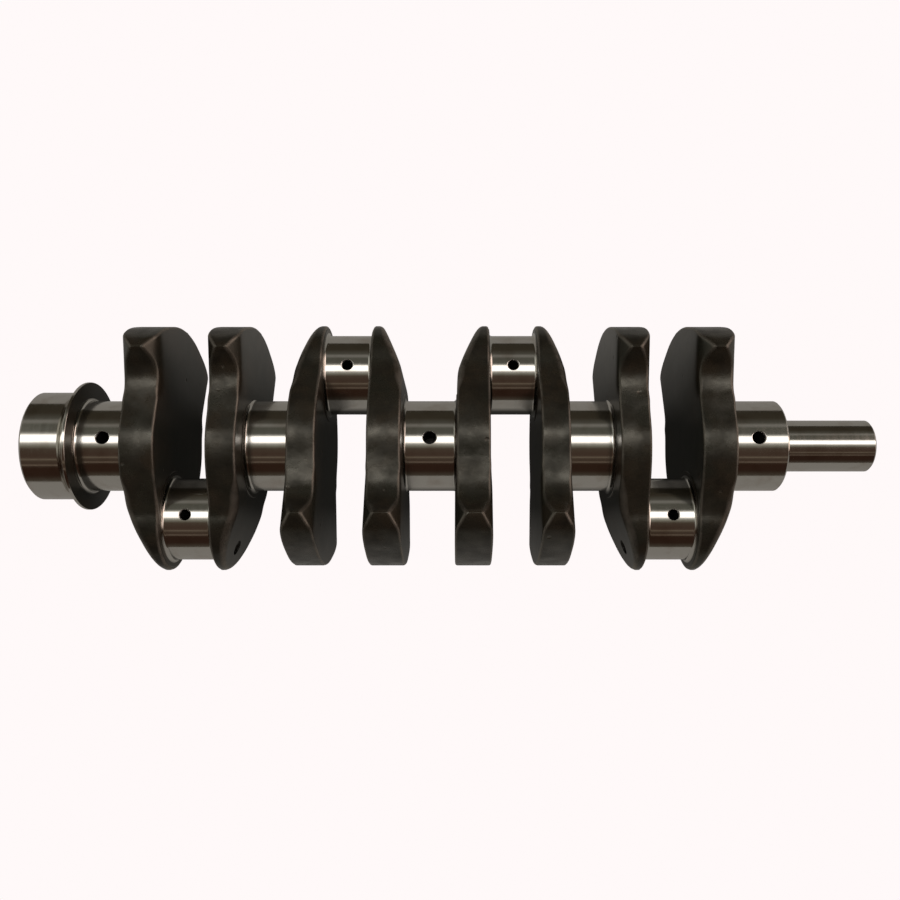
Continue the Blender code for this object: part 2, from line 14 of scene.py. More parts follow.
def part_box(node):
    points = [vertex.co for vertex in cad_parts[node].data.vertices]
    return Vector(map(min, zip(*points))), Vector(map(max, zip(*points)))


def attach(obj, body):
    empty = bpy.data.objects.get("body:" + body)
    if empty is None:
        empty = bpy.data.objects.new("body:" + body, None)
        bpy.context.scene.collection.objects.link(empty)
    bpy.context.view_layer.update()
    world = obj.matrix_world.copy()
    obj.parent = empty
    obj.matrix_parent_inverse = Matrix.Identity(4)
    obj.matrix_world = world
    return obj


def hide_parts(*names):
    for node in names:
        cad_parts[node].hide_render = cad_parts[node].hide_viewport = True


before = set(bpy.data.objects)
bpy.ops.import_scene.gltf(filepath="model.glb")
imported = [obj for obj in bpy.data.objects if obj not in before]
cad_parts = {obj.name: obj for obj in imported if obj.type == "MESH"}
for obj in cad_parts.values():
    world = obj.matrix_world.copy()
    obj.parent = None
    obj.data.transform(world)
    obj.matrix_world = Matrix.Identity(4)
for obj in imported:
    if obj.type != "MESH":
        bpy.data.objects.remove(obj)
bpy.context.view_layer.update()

MM = 0.001
BODY = "crankshaft"

# Journals.
MAIN_RADIUS = 27.5 * MM
PIN_RADIUS = 24.4 * MM
THROW = 44.75 * MM
JOURNAL_FILLET = 1.8 * MM
MAIN_BOSS_RADIUS = 31.5 * MM
PIN_BOSS_RADIUS = 28.6 * MM
BOSS_HEIGHT = 0.4 * MM
BOSS_ROUNDING = 0.2 * MM

# Lengths along the axis, from the middle of the shaft outwards. Both halves of the shaft match.
CENTRE_MAIN_LENGTH = 31.6 * MM
CENTRE_WEB = 19.4 * MM
PIN_LENGTH = 28.6 * MM
INNER_WEB = 16.6 * MM
INNER_MAIN_LENGTH = 27.9 * MM
OUTER_WEB = 17.4 * MM
END_WEB = 20.0 * MM
NOSE_MAIN_LENGTH = 35.7 * MM
FLANGE_MAIN_LENGTH = 33.1 * MM
NOSE_LENGTH = 56.4 * MM

# Nose end.
NOSE_RADIUS = 15.65 * MM
NOSE_CHAMFER = 1.0 * MM
NOSE_ROOT_ROUNDING = 0.5 * MM
NOSE_BOLT_RADIUS = 6.0 * MM
NOSE_BOLT_DEPTH = 32.0 * MM
THREAD_PITCH = 1.25 * MM
THREAD_DEPTH = 0.55 * MM
THREAD_TURNS = 20

# Flywheel end.
COLLAR_LENGTH = 1.9 * MM
COLLAR_RADIUS = 39.0 * MM
GROOVE_LENGTH = 4.9 * MM
GROOVE_RADIUS = 30.0 * MM
FLANGE_RADIUS = 32.7 * MM
FLANGE_CHAMFER = 1.5 * MM
BOLT_CIRCLE_RADIUS = 24.3 * MM
BOLT_COUNT = 6
BOLT_HOLE_RADIUS = 3.4 * MM
BOLT_HOLE_DEPTH = 17.0 * MM
BOLT_HOLE_LEAD = 0.5 * MM
COLLAR_ROUNDING = 0.4 * MM
GROOVE_ROUNDING = 1.0 * MM
SEAT_LEAD = 0.6 * MM
RELIEF_RADIUS = 10.0 * MM
RELIEF_DEPTH = 12.0 * MM

# Web outline, as distances from the main axis: along towards the counterweight, and across to either side.
FAN_RADIUS = 72.5 * MM
FAN_HALF_ANGLE = math.radians(50)
FAN_CORNER = FAN_RADIUS * math.cos(FAN_HALF_ANGLE)
FAN_BULGE = 1.8 * MM
FAN_BULGE_ANGLES = [math.radians(angle) for angle in (20, 38, 42, 51)]
PIN_END_RADIUS = 30.5 * MM
PIN_END_SWEEP = math.radians(88)
FLANK = [
    (38.5 * MM, 46.6 * MM),
    (29.0 * MM, 43.4 * MM),
    (15.0 * MM, 44.2 * MM),
    (0.0, 46.4 * MM),
    (-13.0 * MM, 44.8 * MM),
    (-25.0 * MM, 40.2 * MM),
    (-36.0 * MM, 34.2 * MM),
]
OUTLINE_SOFTNESS = 1.1 * MM

# Web faces. The spans say where along a web, counted towards the counterweight, something comes in.
SHOULDER_BEVEL_START = 46.6 * MM
SHOULDER_HEIGHT = 55.5 * MM
SHOULDER_TILT = 0.3
SHOULDER_SPAN = (18 * MM, 34 * MM)
# The pale edge colour, partly worn metal and partly a painted edge highlight, falls to this share on the
# scooped shoulder, between the next two spans.
SHOULDER_WEAR_AND_HIGHLIGHT = 0.2
SHOULDER_WEAR_AND_HIGHLIGHT_OUT = (24 * MM, 33 * MM)
SHOULDER_WEAR_AND_HIGHLIGHT_IN = (43 * MM, 48 * MM)
SLANT_START = 41.0 * MM
SLANT_END = 75.25 * MM
SLANT_TIP = 5.0 * MM
SHOULDER_SOFTNESS = 2.6 * MM
SLANT_SOFTNESS = 5.0 * MM
EDGE_ROUNDING = 1.5 * MM
PIN_END_ROUNDING = 4.5 * MM
PIN_END_SPAN = (24 * MM, 36 * MM)
FAN_SWELL = 1.1 * MM
FAN_SWELL_SPAN = (12 * MM, 34 * MM)
FLASH_HEIGHT = 0.2 * MM
FLASH_WIDTH = 1.4 * MM

# An edge's rounding takes at most this share of the web's thickness there.
EDGE_SHARE = 0.42

# Width of the ridge that the shoulder bevels leave on the rim of each pair of webs.
CENTRE_RIDGE = 9.5 * MM
INNER_RIDGE = 6.5 * MM
OUTER_RIDGE = 6.2 * MM
END_RIDGE = 7.0 * MM

# Oil ways.
MAIN_OIL_RADIUS = 3.8 * MM
PIN_OIL_RADIUS = 3.2 * MM
OIL_ROUNDING = 0.8 * MM
OIL_DEPTH = 20.0 * MM
OUTER_PIN_OIL_OFFSET = 1.0 * MM
PLUG_SEAT_RADIUS = 3.5 * MM
PLUG_MOUTH_RADIUS = 4.6 * MM
PLUG_LENGTH = 4.0 * MM
PLUG_MOUTH_REACH = 16.0 * MM

# How the pieces are meshed.
OVERLAP = 0.6 * MM
GAP = 0.2 * MM
SMALL_ROUNDING = 0.2 * MM
ROUND_STEPS = 144
HOLE_STEPS = 40
KEY_SEAT_STEPS = 96
FILLET_STEPS = 6
OUTLINE_POINTS = 340
OUTLINE_FINENESS = 4
ARC_STEPS = 40
FLANK_STEPS = 12
RIM_STEPS = 5
FACE_RINGS = 30
FACE_CROWDING = 1.35
FACE_MIDDLE = 12 * MM
SHARP_ANGLE = math.radians(32)

# What counts as part of a cylinder: a face with hardly any slope, close to the radius and facing outwards.
CYLINDER_SLOPE = 0.02
CYLINDER_TOLERANCE = 0.02 * MM
CYLINDER_FACING = 0.9

# Stations along X, counted from the middle of the middle main journal.
CENTRE_MAIN_END = CENTRE_MAIN_LENGTH / 2
INNER_PIN_START = CENTRE_MAIN_END + CENTRE_WEB
INNER_PIN_END = INNER_PIN_START + PIN_LENGTH
INNER_MAIN_START = INNER_PIN_END + INNER_WEB
INNER_MAIN_END = INNER_MAIN_START + INNER_MAIN_LENGTH
OUTER_PIN_START = INNER_MAIN_END + OUTER_WEB
OUTER_PIN_END = OUTER_PIN_START + PIN_LENGTH
END_MAIN_START = OUTER_PIN_END + END_WEB
NOSE_SHOULDER = END_MAIN_START + NOSE_MAIN_LENGTH
NOSE_END = NOSE_SHOULDER + NOSE_LENGTH
COLLAR_FACE = -(END_MAIN_START + FLANGE_MAIN_LENGTH)
GROOVE_START = COLLAR_FACE - COLLAR_LENGTH
FLANGE_START = GROOVE_START - GROOVE_LENGTH
NOSE_MAIN_MIDDLE = END_MAIN_START + NOSE_MAIN_LENGTH / 2
FLANGE_MAIN_MIDDLE = -(END_MAIN_START + FLANGE_MAIN_LENGTH / 2)

# Where the frame puts the middle main journal and the flywheel end.
FORGING_LOW, FORGING_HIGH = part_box("crankshaft_forging")
MIDDLE_X = FORGING_HIGH.x - NOSE_END
FLANGE_FACE = FORGING_LOW.x - MIDDLE_X

# The floor lies just below the circle that the webs sweep, so that the shaft clears it at every pose.
FLOOR_Z = FORGING_LOW.y - 1.0 * MM
FLOOR_REACH = 3.0

# The camera stands off the middle of the shaft, tipped back from straight above.
CAMERA_TILT = math.radians(10.5)
CAMERA_DISTANCE = 525 * MM
CAMERA_LENS = 34.2
CAMERA_SHIFT = (-0.0124, -0.0044)
TOWARDS_CAMERA = Vector((0.0, -math.sin(CAMERA_TILT), math.cos(CAMERA_TILT)))
CAMERA_UP = Vector((0.0, math.cos(CAMERA_TILT), math.sin(CAMERA_TILT)))
CAMERA_X = MIDDLE_X + 18.4 * MM


# ---------------------------------------------------------------- mesh tools


def skin(name, rings, marks=None):
    """A closed mesh over rings of points, with one point at each end. Marks say how much pale edge colour
    each point gets, partly worn metal and partly a painted edge highlight.
    """
    starts = np.cumsum([0] + [len(ring) for ring in rings])
    faces = []
    for index, (near, far) in enumerate(zip(rings, rings[1:])):
        a, b = starts[index], starts[index + 1]
        count = max(len(near), len(far))
        for step in range(count):
            following = (step + 1) % count
            if len(near) == 1:
                faces.append((a, b + following, b + step))
            elif len(far) == 1:
                faces.append((a + step, a + following, b))
            else:
                faces.append((a + step, a + following, b + following, b + step))
    mesh = bpy.data.meshes.new(name)
    mesh.from_pydata(np.concatenate(rings).tolist(), [], faces)
    # The marks give the pale edge colour, partly worn metal and partly a painted edge highlight.
    if marks is not None:
        attribute = mesh.attributes.new("wear_and_highlight", "FLOAT", "POINT")
        attribute.data.foreach_set("value", np.asarray(marks, np.float32))
    made = bpy.data.objects.new(name, mesh)
    bpy.context.scene.collection.objects.link(made)
    return made


def rounded(corners, steps=FILLET_STEPS):
    """A profile through (x, radius, rounding) corners, with an arc at each corner that has a rounding."""
    profile = []
    for index, (x, radius, rounding) in enumerate(corners):
        here = Vector((x, radius))
        if rounding == 0.0:
            profile.append(tuple(here))
            continue
        back = (Vector(corners[index - 1][:2]) - here).normalized()
        ahead = (Vector(corners[index + 1][:2]) - here).normalized()
        half = back.angle(ahead) / 2
        centre = here + (back + ahead).normalized() * rounding / math.sin(half)
        start = here + back * rounding / math.tan(half) - centre
        end = here + ahead * rounding / math.tan(half) - centre
        turns = [start.slerp(end, step / steps) for step in range(steps + 1)]
        profile.extend(tuple(centre + turn * start.length) for turn in turns)
    return profile


def lathe(name, profile, steps=ROUND_STEPS):
    """Turn a profile of (x, radius) points around the X axis; it starts and ends on the axis."""
    angles = np.arange(steps) * math.tau / steps
    rings = []
    for x, radius in profile:
        if radius == 0.0:
            rings.append(np.array([[x, 0.0, 0.0]]))
        else:
            rings.append(np.stack([np.full(steps, x), radius * np.cos(angles), radius * np.sin(angles)], 1))
    return skin(name, rings)


def outward(piece):
    """Turn a closed mesh's faces outwards, which also makes it sound for a Boolean."""
    mesh = piece.data
    mesh.calc_loop_triangles()
    points = np.empty(len(mesh.vertices) * 3)
    mesh.vertices.foreach_get("co", points)
    points = points.reshape(-1, 3)
    corners = np.array([triangle.vertices[:] for triangle in mesh.loop_triangles])
    a, b, c = (points[corners[:, column]] for column in range(3))
    if np.einsum("ij,ij->i", a, np.cross(b, c)).sum() < 0:
        mesh.flip_normals()


def drill(name, start, along, profile, wall, steps=HOLE_STEPS):
    """A cutter turned about a line: wall is the material that the cut leaves behind."""
    made = lathe(name, [(profile[0][0], 0.0), *profile, (profile[-1][0], 0.0)], steps)
    turn = Vector(along).to_track_quat("X", "Z").to_matrix().to_4x4()
    made.data.transform(Matrix.Translation(start) @ turn)
    made.data.materials.append(wall)
    outward(made)
    return made


def cut(piece, tool):
    """Cut the tool out of the piece, leaving the tool's material on the cut, and use the tool up."""
    modifier = piece.modifiers.new("Cut", "BOOLEAN")
    modifier.operation = "DIFFERENCE"
    modifier.solver = "EXACT"
    modifier.material_mode = "TRANSFER"
    modifier.object = tool
    bpy.context.view_layer.update()
    graph = bpy.context.evaluated_depsgraph_get()
    result = bpy.data.meshes.new_from_object(piece.evaluated_get(graph))
    piece.modifiers.clear()
    piece.data = result
    bpy.data.objects.remove(tool, do_unlink=True)


def darken(piece, look, radius, lowest, highest):
    """Give the forging's look to the faces beyond a radius and between two stations."""
    mesh = piece.data
    mesh.materials.append(look)
    for face in mesh.polygons:
        beyond = math.hypot(face.center.y, face.center.z) > radius
        if beyond and lowest < face.center.x < highest:
            face.material_index = len(mesh.materials) - 1


def true_round(piece, radii):
    """Shade a turned piece exactly round where it is a cylinder of one of these radii."""
    mesh = piece.data
    normals = np.zeros((len(mesh.loops), 3))
    for face in mesh.polygons:
        if abs(face.normal.x) > CYLINDER_SLOPE:
            continue
        for loop in face.loop_indices:
            point = mesh.vertices[mesh.loops[loop].vertex_index].co
            radial = Vector((0.0, point.y, point.z))
            close = any(abs(radial.length - radius) < CYLINDER_TOLERANCE for radius in radii)
            if close and face.normal.dot(radial) > CYLINDER_FACING * radial.length:
                normals[loop] = radial.normalized()
    mesh.normals_split_custom_set(normals.tolist())


def place(piece, look, x=0.0, y=0.0):
    """Shade a finished piece, give it its look, move it to its station and let it ride on the crankshaft."""
    if not piece.data.materials:
        piece.data.materials.append(look)
    piece.data.shade_smooth()
    piece.data.set_sharp_from_angle(angle=SHARP_ANGLE)
    piece.location = (MIDDLE_X + x, y, 0.0)
    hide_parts("crankshaft_forging")
    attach(piece, BODY)


# ---------------------------------------------------------------- webs


def spline(points, steps):
    """A smooth curve through the inner points; the first and last points only give it its direction."""
    curve = []
    for before, start, end, after in zip(points, points[1:], points[2:], points[3:]):
        for t in np.arange(steps) / steps:
            blend = (
                -t / 2 + t**2 - t**3 / 2,
                1 - 2.5 * t**2 + 1.5 * t**3,
                t / 2 + 2 * t**2 - 1.5 * t**3,
                -(t**2) / 2 + t**3 / 2,
            )
            curve.append(np.dot(blend, (before, start, end, after)))
    return curve


def arc(centre, radius, start, end, steps):
    """Points on an arc in the outline's plane, with angles counted from the counterweight's direction."""
    angles = np.linspace(start, end, steps + 1)
    return np.stack([centre + radius * np.cos(angles), radius * np.sin(angles)], 1)


def resample(points, count):
    """The closed curve again, as evenly spaced points."""
    closed = np.concatenate([points, points[:1]])
    reach = np.concatenate([[0.0], np.cumsum(np.linalg.norm(np.diff(closed, axis=0), axis=1))])
    wanted = np.linspace(0.0, reach[-1], count, endpoint=False)
    return np.stack([np.interp(wanted, reach, closed[:, axis]) for axis in (0, 1)], 1)


def soften(points, softness):
    """Round the corners of an evenly spaced closed curve, as a forging die would."""
    spacing = np.linalg.norm(points[1] - points[0])
    reach = int(3 * softness / spacing) + 1
    shifts = np.arange(-reach, reach + 1)
    weights = np.exp(-0.5 * (shifts * spacing / softness) ** 2)
    return sum(weight * np.roll(points, shift, 0) for weight, shift in zip(weights / weights.sum(), shifts))


def web_outline():
    """Evenly spaced outline of a web: counterweight fan, waisted flank, round pin end and the other flank."""
    fan = arc(0.0, FAN_RADIUS, -FAN_HALF_ANGLE, FAN_HALF_ANGLE, ARC_STEPS)
    turn = np.abs(np.arctan2(fan[:, 1], fan[:, 0]))
    rise, top, end, fall = FAN_BULGE_ANGLES
    fan *= (1 + FAN_BULGE / FAN_RADIUS * (ease(turn, rise, top) - ease(turn, end, fall)))[:, None]
    pin_end = arc(-THROW, PIN_END_RADIUS, math.pi - PIN_END_SWEEP, math.pi + PIN_END_SWEEP, ARC_STEPS)
    lead_in = fan[-1] * 2 - np.array(FLANK[0])
    flank = np.array(spline([lead_in, fan[-1], *FLANK, pin_end[0], pin_end[2]], FLANK_STEPS))
    other = flank[::-1] * (1, -1)
    whole = np.concatenate([fan[:-1], flank, pin_end, other])
    fine = soften(resample(whole, OUTLINE_POINTS * OUTLINE_FINENESS), OUTLINE_SOFTNESS)
    return resample(fine, OUTLINE_POINTS)


def ramp(value, softness):
    """Zero below nought and rising one for one above it, with a soft bend between."""
    return (value + np.sqrt(value**2 + softness**2)) / 2


def ease(value, start, end):
    """A smooth step from 0 at start to 1 at end."""
    t = np.clip((value - start) / (end - start), 0.0, 1.0)
    return t * t * (3 - 2 * t)


def flash(across):
    """The low trimmed ridge where the two forging dies met."""
    return FLASH_HEIGHT * np.exp(-((across / FLASH_WIDTH) ** 4))


def face_height(points, thickness, ridge, slanted):
    """How far a web's face stands from the web's middle plane, at (along, across) points."""
    along, across = points[:, 0], np.abs(points[:, 1])
    height = thickness / 2 + FAN_SWELL * ease(along, *FAN_SWELL_SPAN)
    bevel = (thickness / 2 + FAN_SWELL - ridge / 2) / (SHOULDER_HEIGHT - SHOULDER_BEVEL_START)
    past_start = across - SHOULDER_BEVEL_START + SHOULDER_TILT * (FAN_CORNER - along)
    height -= bevel * ease(along, *SHOULDER_SPAN) * ramp(past_start, SHOULDER_SOFTNESS)
    if slanted:
        slope = (thickness - SLANT_TIP) / (SLANT_END - SLANT_START)
        height -= slope * ramp(-along - SLANT_START, SLANT_SOFTNESS)
    return height


def rounding_at(along, slanted):
    """Radius of the edge between a web's face and its rim: larger round the slanted pin end."""
    radius = np.full(len(along), EDGE_ROUNDING)
    if slanted:
        radius += (PIN_END_ROUNDING - EDGE_ROUNDING) * ease(-along, *PIN_END_SPAN)
    return radius


def wear_and_highlight_at(along):
    """How much pale edge colour a web's edge gets, partly worn metal and partly a painted edge highlight:
    fully, but little on the scooped shoulder just below the fan.
    """
    return 1 - (1 - SHOULDER_WEAR_AND_HIGHLIGHT) * (ease(along, *SHOULDER_WEAR_AND_HIGHLIGHT_OUT) - ease(along, *SHOULDER_WEAR_AND_HIGHLIGHT_IN))


def face_rings(outline, normals, thickness, ridge, slanted):
    """Rings from a web's rim, round its edge and over its face to the middle, as points, heights and pale
    edge colour, which is partly wear and partly a painted edge highlight.
    """
    middle = np.array([[FACE_MIDDLE, 0.0]])
    room = face_height(outline, thickness, ridge, slanted) + face_height(outline, thickness, ridge, False)
    radius = np.minimum(rounding_at(outline[:, 0], slanted), EDGE_SHARE * room)
    rings = []
    for turn in np.linspace(0.0, math.pi / 2, FILLET_STEPS + 1):
        points = outline - normals * (radius * (1 - math.cos(turn)))[:, None]
        height = face_height(points, thickness, ridge, slanted) - radius * (1 - math.sin(turn))
        # Pale edge colour, partly wear and partly a painted edge highlight, peaks half way round the
        # rounding.
        rings.append((points, height, math.sin(2 * turn) * wear_and_highlight_at(points[:, 0])))
    edge = rings[-1][0]
    for step in range(1, FACE_RINGS):
        share = (step / FACE_RINGS) ** FACE_CROWDING
        points = edge + (middle - edge) * share
        rings.append((points, face_height(points, thickness, ridge, slanted), 0.0))
    rings.append((middle, face_height(middle, thickness, ridge, slanted), 0.0))
    return rings


def web(name, pin_face, outer_face, heavy_side, ridge):
    """One web, in its own frame: its middle plane is at x = 0 and its counterweight at +Y or -Y."""
    thickness = abs(outer_face - pin_face)
    side = math.copysign(1.0, outer_face - pin_face)
    outline = web_outline()
    tangents = np.roll(outline, -1, 0) - np.roll(outline, 1, 0)
    tangents /= np.linalg.norm(tangents, axis=1)[:, None]
    normals = np.stack([tangents[:, 1], -tangents[:, 0]], 1)
    outline = outline + normals * flash(outline[:, 1])[:, None]
    outer = face_rings(outline, normals, thickness, ridge, True)
    inner = face_rings(outline, normals, thickness, ridge, False)
    flat = [(points, height, wear_and_highlight) for points, height, wear_and_highlight in reversed(outer)]
    top, bottom = outer[0][1], -inner[0][1]
    for step in range(1, RIM_STEPS):
        flat.append((outline, top + (bottom - top) * step / RIM_STEPS, 0.0))
    flat.extend((points, -height, wear_and_highlight) for points, height, wear_and_highlight in inner)
    rings = [
        np.stack([side * height, heavy_side * points[:, 0], points[:, 1]], 1) for points, height, wear_and_highlight in flat
    ]
    # Pale edge colour at each point, partly wear and partly a painted edge highlight.
    marks = np.concatenate([np.broadcast_to(wear_and_highlight, len(points)) for points, height, wear_and_highlight in flat])
    made = skin(name, rings, marks)
    outward(made)
    return made


def gallery_tool(start, mouth, wall):
    """A cutter for the mouth of an oil gallery: the plug's seat, and a wider mouth above the plug."""
    along = mouth - start
    low = along.length - PLUG_LENGTH / 2
    high = along.length + PLUG_LENGTH / 2
    profile = [
        (low, PLUG_SEAT_RADIUS),
        (high, PLUG_SEAT_RADIUS),
        (high + PLUG_MOUTH_RADIUS - PLUG_SEAT_RADIUS, PLUG_MOUTH_RADIUS),
        (along.length + PLUG_MOUTH_REACH, PLUG_MOUTH_RADIUS),
    ]
    return drill("gallery_mouth", start, along.normalized(), profile, wall)


def add_webs(looks):
    """All eight webs, with the mouths of the oil galleries in four of them."""
    mouths = gallery_mouths()
    first_number = {-1: 4, 1: 5}
    for half, end_main in ((-1, FLANGE_MAIN_MIDDLE), (1, NOSE_MAIN_MIDDLE)):
        webs = (
            (INNER_PIN_START, CENTRE_MAIN_END, -1, CENTRE_RIDGE, None),
            (INNER_PIN_END, INNER_MAIN_START, -1, INNER_RIDGE, 0.0),
            (OUTER_PIN_START, INNER_MAIN_END, 1, OUTER_RIDGE, end_main),
            (OUTER_PIN_END, END_MAIN_START, 1, END_RIDGE, None),
        )
        for step, (pin_face, outer_face, heavy_side, ridge, gallery) in enumerate(webs):
            middle = half * (pin_face + outer_face) / 2
            name = f"web_{first_number[half] + half * step}"
            made = web(name, half * pin_face, half * outer_face, heavy_side, ridge)
            made.data.materials.append(looks["forged"])
            if gallery is not None:
                mouth = min(mouths, key=lambda point: abs(point.x - middle))
                web_place = Vector((middle, 0.0, 0.0))
                start = Vector((gallery - middle, 0.0, 0.0))
                cut(made, gallery_tool(start, mouth - web_place, looks["bore"]))
            place(made, looks["forged"], middle)


def gallery_mouths():
    """The middles of the four gallery plugs, counted from the middle main journal."""
    plugs = [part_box(f"gallery_plug_{number}") for number in range(1, 5)]
    return [(low + high) / 2 - Vector((MIDDLE_X, 0.0, 0.0)) for low, high in plugs]


# ---------------------------------------------------------------- journals and ends


def boss_profile(face, direction, radius, boss_radius):
    """The end of a journal at a web: overlap, thrust boss and fillet, going away from the web."""
    top = face + direction * BOSS_HEIGHT
    return [
        (face - direction * OVERLAP, 0.0, 0.0),
        (face - direction * OVERLAP, boss_radius + BOSS_HEIGHT, 0.0),
        (face, boss_radius + BOSS_HEIGHT, 0.0),
        (top, boss_radius, BOSS_ROUNDING),
        (top, radius, JOURNAL_FILLET),
    ]


def oil_hole(piece, x, radius, hole_radius, looks):
    """An oil hole in the top of a journal, with a rounded mouth of burnished steel, painted paler than steel
    as a highlight, and a dark bore.
    """
    up = (0.0, 0.0, 1.0)
    mouth = [(radius - 2 * OIL_ROUNDING, hole_radius)]
    for turn in np.radians(range(15, 76, 15)):
        drop = OIL_ROUNDING * (1 - math.sin(turn))
        mouth.append((radius - drop, hole_radius + OIL_ROUNDING * (1 - math.cos(turn))))
    mouth.append((radius + OVERLAP / 2, hole_radius + 2 * OIL_ROUNDING))
    cut(piece, drill("oil_mouth", (x, 0.0, 0.0), up, mouth, looks["burnished_highlight"]))
    bore = [(radius - OIL_DEPTH, hole_radius), (radius + OVERLAP, hole_radius)]
    cut(piece, drill("oil_bore", (x, 0.0, 0.0), up, bore, looks["bore"]))


def journal(name, start, end, y, radius, boss_radius, looks, hole=None, hole_radius=0.0):
    """A journal between two webs, in its own frame about its middle."""
    half = (end - start) / 2
    left = boss_profile(-half, 1, radius, boss_radius)
    right = boss_profile(half, -1, radius, boss_radius)
    made = lathe(name, rounded(left + right[::-1]))
    outward(made)
    made.data.materials.append(looks["ground"])
    if hole is not None:
        oil_hole(made, hole, radius, hole_radius, looks)
    darken(made, looks["forged"], radius + JOURNAL_FILLET, -half, half)
    place(made, looks["ground"], (start + end) / 2, y)
    true_round(made, [radius])


def add_journals(looks):
    """The three middle main journals and the four crankpins."""
    mains = (
        ("main_journal_2", -INNER_MAIN_END, -INNER_MAIN_START, None),
        ("main_journal_3", -CENTRE_MAIN_END, CENTRE_MAIN_END, 0.0),
        ("main_journal_4", INNER_MAIN_START, INNER_MAIN_END, None),
    )
    for name, start, end, hole in mains:
        journal(name, start, end, 0.0, MAIN_RADIUS, MAIN_BOSS_RADIUS, looks, hole, MAIN_OIL_RADIUS)
    pins = (
        ("crankpin_1", -OUTER_PIN_END, -OUTER_PIN_START, -THROW, -OUTER_PIN_OIL_OFFSET),
        ("crankpin_2", -INNER_PIN_END, -INNER_PIN_START, THROW, 0.0),
        ("crankpin_3", INNER_PIN_START, INNER_PIN_END, THROW, 0.0),
        ("crankpin_4", OUTER_PIN_START, OUTER_PIN_END, -THROW, OUTER_PIN_OIL_OFFSET),
    )
    for name, start, end, y, hole in pins:
        journal(name, start, end, y, PIN_RADIUS, PIN_BOSS_RADIUS, looks, hole, PIN_OIL_RADIUS)


def flange_profile():
    """The flywheel end: last main journal, oil collar, groove, flange and bearing seat, turned as one."""
    bearing_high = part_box("pilot_outer_ring")[1]
    seat_radius = bearing_high.y + GAP
    seat_end = bearing_high.x - MIDDLE_X + GAP
    return rounded([
        *boss_profile(-END_MAIN_START, -1, MAIN_RADIUS, MAIN_BOSS_RADIUS),
        (COLLAR_FACE, MAIN_RADIUS, JOURNAL_FILLET),
        (COLLAR_FACE, COLLAR_RADIUS, COLLAR_ROUNDING),
        (GROOVE_START, COLLAR_RADIUS, COLLAR_ROUNDING),
        (GROOVE_START, GROOVE_RADIUS, GROOVE_ROUNDING),
        (FLANGE_START, GROOVE_RADIUS, GROOVE_ROUNDING),
        (FLANGE_START, FLANGE_RADIUS - FLANGE_CHAMFER / 2, SMALL_ROUNDING),
        (FLANGE_START - FLANGE_CHAMFER / 2, FLANGE_RADIUS, SMALL_ROUNDING),
        (FLANGE_FACE + FLANGE_CHAMFER, FLANGE_RADIUS, SMALL_ROUNDING),
        (FLANGE_FACE, FLANGE_RADIUS - FLANGE_CHAMFER, SMALL_ROUNDING),
        (FLANGE_FACE, seat_radius + SEAT_LEAD, 0.0),
        (FLANGE_FACE + SEAT_LEAD, seat_radius, 0.0),
        (seat_end, seat_radius, 0.0),
        (seat_end, RELIEF_RADIUS, 0.0),
        (seat_end + RELIEF_DEPTH, RELIEF_RADIUS, 0.0),
        (seat_end + RELIEF_DEPTH + RELIEF_RADIUS / 2, 0.0, 0.0),
    ])


def drill_flange(flange, wall):
    """The flange's six bolt holes and its dowel hole."""
    inward = (1.0, 0.0, 0.0)
    profile = [
        (-OVERLAP, BOLT_HOLE_RADIUS + BOLT_HOLE_LEAD + OVERLAP),
        (BOLT_HOLE_LEAD, BOLT_HOLE_RADIUS),
        (BOLT_HOLE_DEPTH, BOLT_HOLE_RADIUS),
    ]
    for index in range(BOLT_COUNT):
        angle = math.tau * index / BOLT_COUNT
        start = (FLANGE_FACE, BOLT_CIRCLE_RADIUS * math.cos(angle), BOLT_CIRCLE_RADIUS * math.sin(angle))
        cut(flange, drill("bolt_hole", start, inward, profile, wall))
    dowel_low, dowel_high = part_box("flywheel_dowel")
    start = (FLANGE_FACE, 0.0, (dowel_low.z + dowel_high.z) / 2)
    radius = (dowel_high.y - dowel_low.y) / 2 + GAP
    depth = dowel_high.x - MIDDLE_X - FLANGE_FACE + GAP
    cut(flange, drill("dowel_hole", start, inward, [(-OVERLAP, radius), (depth, radius)], wall))


def add_flywheel_end(looks):
    """The flywheel end, with the last main journal's oil hole."""
    made = lathe("flywheel_end", flange_profile())
    outward(made)
    made.data.materials.append(looks["ground"])
    oil_hole(made, FLANGE_MAIN_MIDDLE, MAIN_RADIUS, MAIN_OIL_RADIUS, looks)
    drill_flange(made, looks["bore"])
    darken(made, looks["forged"], MAIN_RADIUS + JOURNAL_FILLET, COLLAR_FACE - GAP / 4, 0.0)
    place(made, looks["ground"])
    true_round(made, [MAIN_RADIUS, FLANGE_RADIUS, COLLAR_RADIUS, GROOVE_RADIUS])


def thread(start, radius):
    """Grooves down a bolt hole that stand for its thread, as profile points going in from the face."""
    points = []
    for turn in range(THREAD_TURNS):
        crest = start - turn * THREAD_PITCH
        points.append((crest, radius, 0.0))
        points.append((crest - THREAD_PITCH / 2, radius + THREAD_DEPTH, 0.0))
    return points


